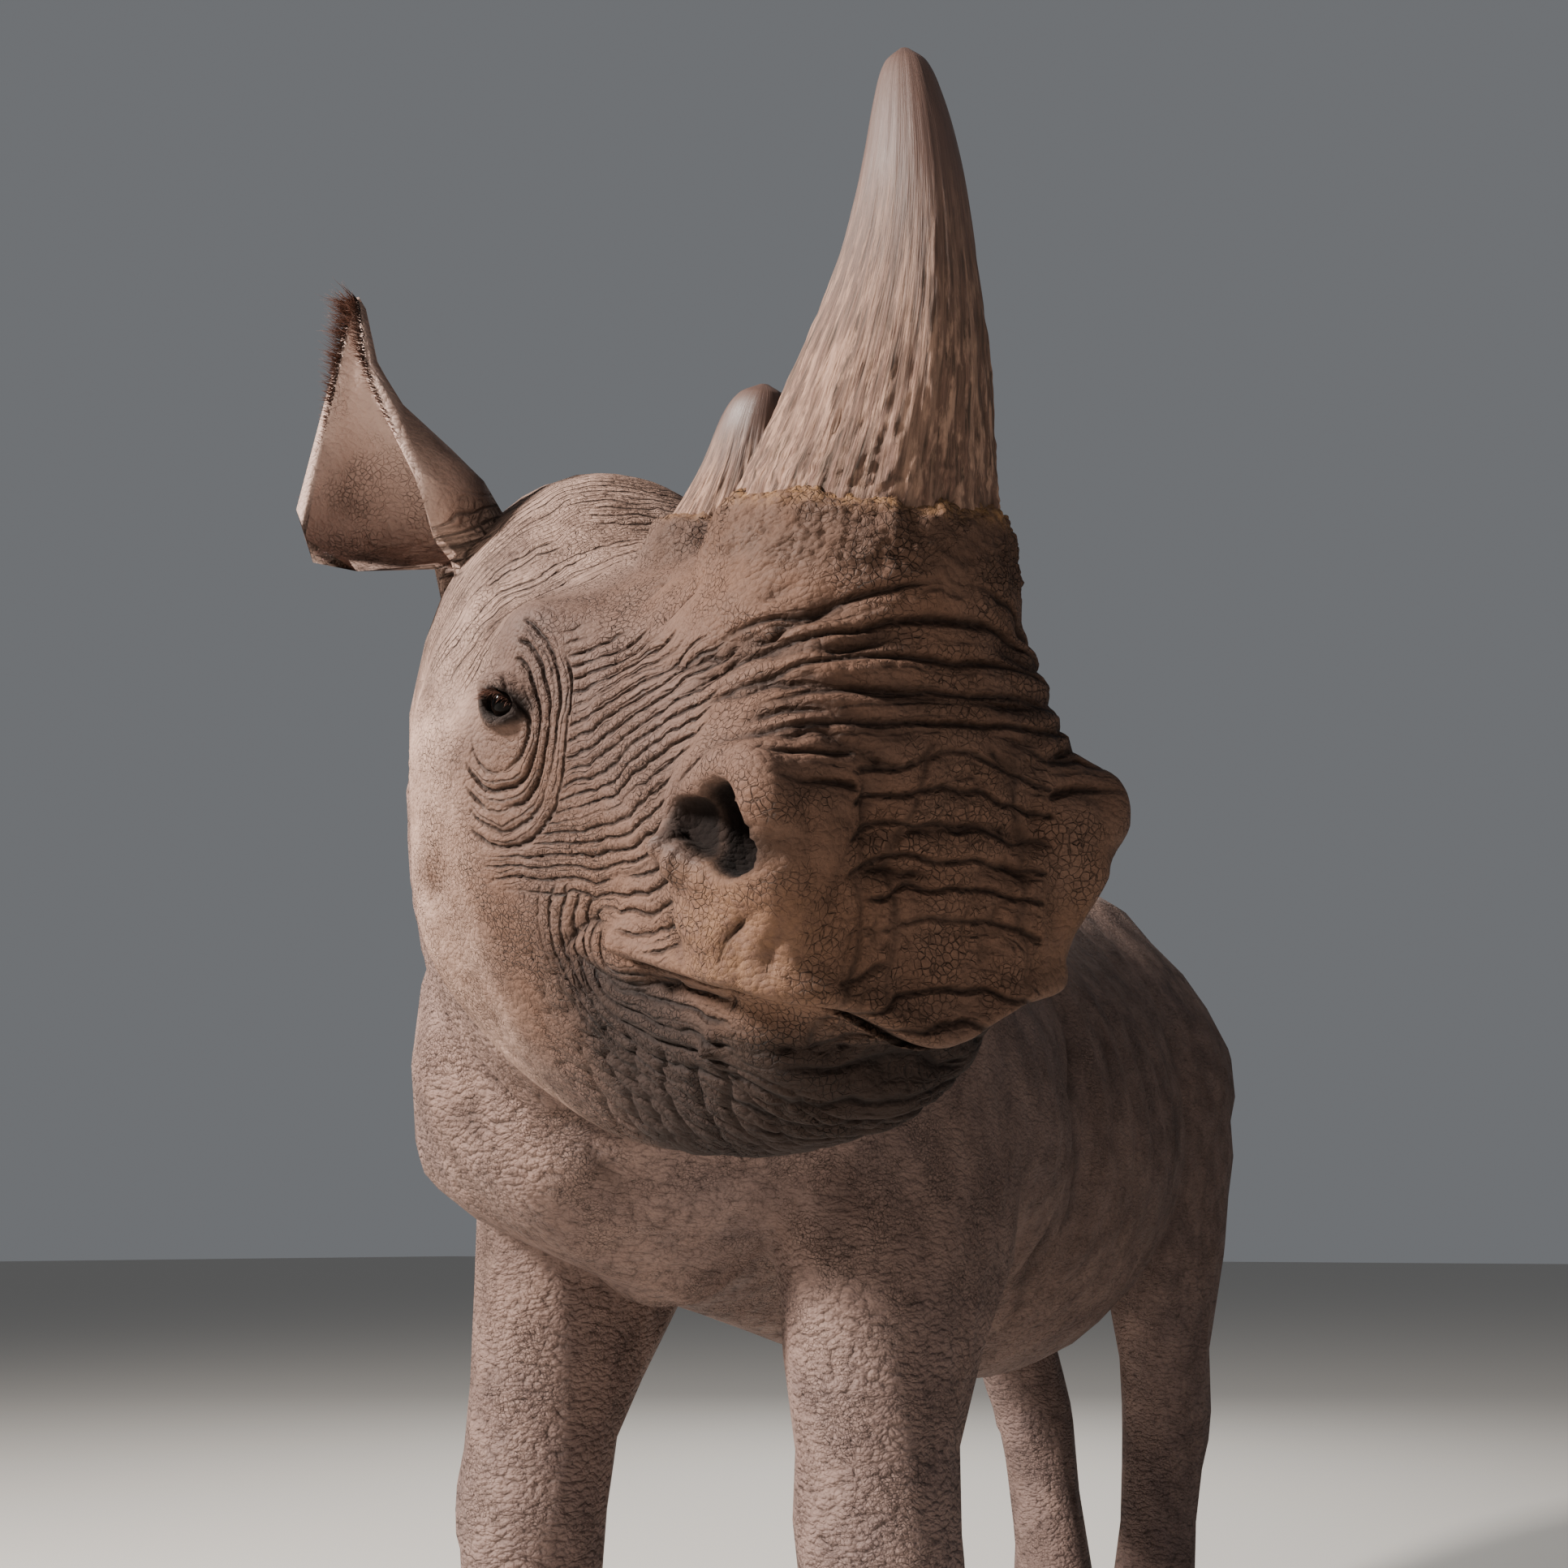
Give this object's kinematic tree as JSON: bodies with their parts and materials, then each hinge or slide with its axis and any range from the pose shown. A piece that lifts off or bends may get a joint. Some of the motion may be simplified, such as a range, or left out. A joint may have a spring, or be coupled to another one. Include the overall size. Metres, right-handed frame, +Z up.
{
  "type": "black rhinoceros",
  "caption": "Life-size standing black rhinoceros with two horns, its head turned to its left, as a still museum model.",
  "frame": {"origin": "on the floor, under the middle of the box that holds the whole animal", "axes": "+Z up, -Y the way the body faces (tail towards +Y), +X the animal's left side"},
  "size_m": [1.1826, 2.6772, 1.518],
  "materials": {
    "skin": "matte, deeply wrinkled hide",
    "horn": "fibrous below, smooth and worn at the tip",
    "hoof": "worn, dull",
    "eye": "wet gloss"
  },
  "bodies": {
    "root": {"eye_left": "eye", "eye_right": "eye", "tail": "skin", "horn_front": "horn", "horn_rear": "horn", "ear_left": "skin", "ear_right": "skin", "hoof_fore_left_middle": "hoof", "hoof_fore_left_outer": "hoof", "hoof_fore_left_inner": "hoof", "foreleg_left": "skin", "hoof_fore_right_middle": "hoof", "hoof_fore_right_outer": "hoof", "hoof_fore_right_inner": "hoof", "foreleg_right": "skin", "hoof_hind_left_middle": "hoof", "hoof_hind_left_outer": "hoof", "hoof_hind_left_inner": "hoof", "hindleg_left": "skin", "hoof_hind_right_middle": "hoof", "hoof_hind_right_outer": "hoof", "hoof_hind_right_inner": "hoof", "hindleg_right": "skin", "head": "skin", "neck": "skin", "torso": "skin"}
  },
  "joints": []
}
